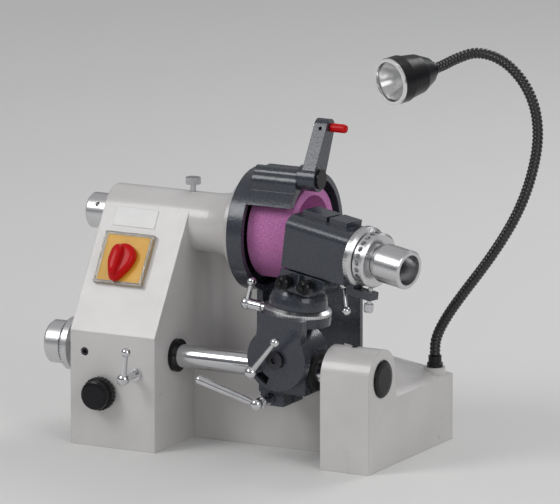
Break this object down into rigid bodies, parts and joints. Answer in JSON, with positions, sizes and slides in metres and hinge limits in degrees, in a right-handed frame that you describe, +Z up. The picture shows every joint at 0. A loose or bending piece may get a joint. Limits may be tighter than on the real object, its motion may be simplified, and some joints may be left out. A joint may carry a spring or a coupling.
{
  "type": "drill bit sharpener",
  "caption": "Bench tool and cutter grinder with a cup wheel in a guard, a swinging collet workhead on a guide bar, ball levers, a dresser arm, a rotary switch and a gooseneck lamp.",
  "frame": {"origin": "centre of the four mounting holes, on the underside of the base", "axes": "+Z up, +X from the switch column towards the workhead's free end, -Y towards the operator"},
  "size_m": [0.5046, 0.258, 0.4295],
  "materials": {
    "grey_paint": "gloss",
    "slate_paint": "gloss, slightly hammered",
    "satin_aluminium": "satin turned",
    "chrome": "polished",
    "steel": "ground",
    "sheet_steel": "matt",
    "black_metal": "satin",
    "black_plastic": "gloss",
    "rubber": "matt",
    "abrasive": "grainy",
    "yellow_plastic": "satin",
    "red_plastic": "gloss",
    "white_plastic": "gloss",
    "clear": "clear"
  },
  "bodies": {
    "base": {"body_casting": "grey_paint", "bottom_plate": "sheet_steel", "bottom_plate_screws": "steel", "cable_gland": "black_plastic", "front_plug": "steel", "motor_body": "black_metal", "drive_belt": "rubber", "wheel_guard": "slate_paint", "dresser_pin": "black_metal", "switch_frame": "clear", "switch_plate": "yellow_plastic", "switch_block": "black_plastic", "label_plate": "white_plastic", "bar_bushes": "black_plastic", "end_cap": "black_plastic", "support_screw": "steel", "feed_neck": "satin_aluminium", "lamp_foot": "black_metal", "gooseneck": "black_metal"},
    "motor_rotor": {"motor_rotor": "steel"},
    "quill": {"quill": "steel", "quill_bearings": "steel"},
    "wheel": {"wheel_spindle": "steel", "spindle_pulley": "steel", "wheel_nut": "steel", "grinding_wheel": "abrasive"},
    "spindle_feed_knob": {"spindle_feed_knob": "satin_aluminium"},
    "thumb_screw": {"thumb_screw": "satin_aluminium"},
    "dresser_arm": {"dresser_arm": "slate_paint"},
    "dresser": {"dresser_rod": "steel", "dresser_cap": "red_plastic"},
    "switch_handle": {"switch_handle": "red_plastic"},
    "front_lever": {"front_lever": "chrome"},
    "stop_knob": {"stop_knob": "black_plastic"},
    "feed_handwheel": {"feed_handwheel": "satin_aluminium"},
    "bar_feed_screw": {"bar_feed_screw": "steel"},
    "bar": {"guide_bar": "steel"},
    "carriage": {"slide_block": "slate_paint", "bar_wipers": "rubber", "tilt_pivot": "steel"},
    "bar_clamp_lever": {"bar_clamp_lever": "chrome"},
    "tilt_lever": {"tilt_lever": "chrome"},
    "tilt": {"tilt_bracket": "slate_paint", "swivel_ring": "satin_aluminium"},
    "swivel_lever": {"swivel_lever": "chrome"},
    "saddle": {"head_saddle": "slate_paint"},
    "saddle_knob_1": {"saddle_knob_1": "black_plastic"},
    "saddle_knob_2": {"saddle_knob_2": "black_plastic"},
    "latch_lever": {"latch_lever": "chrome"},
    "head": {"head_casting": "slate_paint", "scale_collar": "satin_aluminium"},
    "work_spindle": {"work_spindle": "steel", "index_ring": "satin_aluminium", "collet": "steel", "tool_bit": "steel"},
    "drawtube": {"drawtube": "satin_aluminium"},
    "index_pin": {"index_pin": "steel"},
    "lamp": {"lamp_head": "black_metal", "lamp_reflector": "satin_aluminium", "lamp_lens": "clear"}
  },
  "joints": [
    {"name": "motor_spin", "type": "hinge", "parent": "base", "child": "motor_rotor", "pos_m": [-0.125, 0.056, 0.08], "axis": [1, 0, 0], "continuous": true},
    {"name": "quill_feed", "type": "slide", "parent": "base", "child": "quill", "axis": [1, 0, 0], "range_m": [-0.007, 0]},
    {"name": "wheel_spin", "type": "hinge", "parent": "quill", "child": "wheel", "pos_m": [0, 0, 0.23], "axis": [1, 0, 0], "continuous": true},
    {"name": "feed_knob_turn", "type": "hinge", "parent": "base", "child": "spindle_feed_knob", "pos_m": [-0.173, 0, 0.23], "axis": [1, 0, 0], "range_deg": [-2520, 0]},
    {"name": "lock_screw_turn", "type": "hinge", "parent": "base", "child": "thumb_screw", "pos_m": [-0.082, 0, 0.23], "axis": [0, 0, 1], "range_deg": [-180, 180]},
    {"name": "dresser_swing", "type": "hinge", "parent": "base", "child": "dresser_arm", "pos_m": [0.0673, -0.028, 0.295], "axis": [1, 0, 0], "range_deg": [0, 115]},
    {"name": "dresser_feed", "type": "slide", "parent": "dresser_arm", "child": "dresser", "axis": [1, 0, 0], "range_m": [0, 0.004]},
    {"name": "switch_turn", "type": "hinge", "parent": "base", "child": "switch_handle", "pos_m": [-0.1305, -0.06002, 0.19339], "axis": [0, -0.8481, 0.5299], "range_deg": [0, 90]},
    {"name": "front_lever_turn", "type": "hinge", "parent": "base", "child": "front_lever", "pos_m": [-0.094, -0.104, 0.083], "axis": [0, 1, 0], "range_deg": [-45, 45]},
    {"name": "stop_knob_turn", "type": "hinge", "parent": "base", "child": "stop_knob", "pos_m": [-0.135, -0.104, 0.059], "axis": [0, 1, 0], "range_deg": [-360, 360]},
    {"name": "handwheel_turn", "type": "hinge", "parent": "base", "child": "feed_handwheel", "pos_m": [-0.173, -0.058, 0.097], "axis": [1, 0, 0], "range_deg": [0, 1440]},
    {"name": "bar_feed", "type": "slide", "parent": "base", "child": "bar_feed_screw", "axis": [1, 0, 0], "range_m": [0, 0.006]},
    {"name": "work_swing", "type": "hinge", "parent": "bar_feed_screw", "child": "bar", "pos_m": [0, -0.058, 0.097], "axis": [1, 0, 0], "range_deg": [-6, 25]},
    {"name": "carriage_slide", "type": "slide", "parent": "bar", "child": "carriage", "axis": [1, 0, 0], "range_m": [0, 0.007]},
    {"name": "bar_clamp_turn", "type": "hinge", "parent": "carriage", "child": "bar_clamp_lever", "pos_m": [0.052, -0.0835, 0.0675], "axis": [0, 1, 0], "range_deg": [-25, 25]},
    {"name": "tilt_lever_turn", "type": "hinge", "parent": "carriage", "child": "tilt_lever", "pos_m": [0.046, -0.0963, 0.101], "axis": [0, 1, 0], "range_deg": [-40, 40]},
    {"name": "relief_tilt", "type": "hinge", "parent": "carriage", "child": "tilt", "pos_m": [0.068, -0.0963, 0.114], "axis": [0, 1, 0], "range_deg": [0, 15]},
    {"name": "swivel_lever_turn", "type": "hinge", "parent": "tilt", "child": "swivel_lever", "pos_m": [0.03703, -0.058, 0.15892], "axis": [0.9932, 0, -0.1167], "range_deg": [0, 40]},
    {"name": "head_swivel", "type": "hinge", "parent": "tilt", "child": "saddle", "pos_m": [0.07407, -0.058, 0.16564], "axis": [0.1167, 0, 0.9932], "range_deg": [-55, 20]},
    {"name": "saddle_knob_1_turn", "type": "hinge", "parent": "saddle", "child": "saddle_knob_1", "pos_m": [0.07749, -0.08448, 0.19646], "axis": [-0.1946, -0.9806, 0.0229], "range_deg": [-180, 180]},
    {"name": "saddle_knob_2_turn", "type": "hinge", "parent": "saddle", "child": "saddle_knob_2", "pos_m": [0.10597, -0.09016, 0.19512], "axis": [-0.1946, -0.9806, 0.0229], "range_deg": [-180, 180]},
    {"name": "latch_turn", "type": "hinge", "parent": "saddle", "child": "latch_lever", "pos_m": [0.12708, -0.0678, 0.19667], "axis": [0.9739, -0.1959, -0.1144], "range_deg": [-40, 40]},
    {"name": "head_slide", "type": "slide", "parent": "saddle", "child": "head", "axis": [0.9739, -0.1959, -0.1144], "range_m": [0, 0.012]},
    {"name": "work_spindle_turn", "type": "hinge", "parent": "head", "child": "work_spindle", "pos_m": [0.07479, -0.05643, 0.23906], "axis": [0.9739, -0.1959, -0.1144], "continuous": true},
    {"name": "drawtube_turn", "type": "hinge", "parent": "work_spindle", "child": "drawtube", "pos_m": [0.17949, -0.0775, 0.22676], "axis": [0.9739, -0.1959, -0.1144], "range_deg": [-720, 720]},
    {"name": "index_pin_slide", "type": "slide", "parent": "head", "child": "index_pin", "axis": [0.1167, 0, 0.9932], "range_m": [0, 0.004]},
    {"name": "lamp_bend", "type": "hinge", "parent": "base", "child": "lamp", "pos_m": [0.26, 0.092, 0.2623], "axis": [0, 1, 0], "range_deg": [-12, 12], "deforming": ["gooseneck"]}
  ],
  "couplings": [
    {"joint": "wheel_spin", "follows": "motor_spin", "ratio": 1.8571},
    {"joint": "feed_knob_turn", "follows": "quill_feed", "rad_per_m": 6283.2},
    {"joint": "handwheel_turn", "follows": "bar_feed", "rad_per_m": 4188.8}
  ]
}
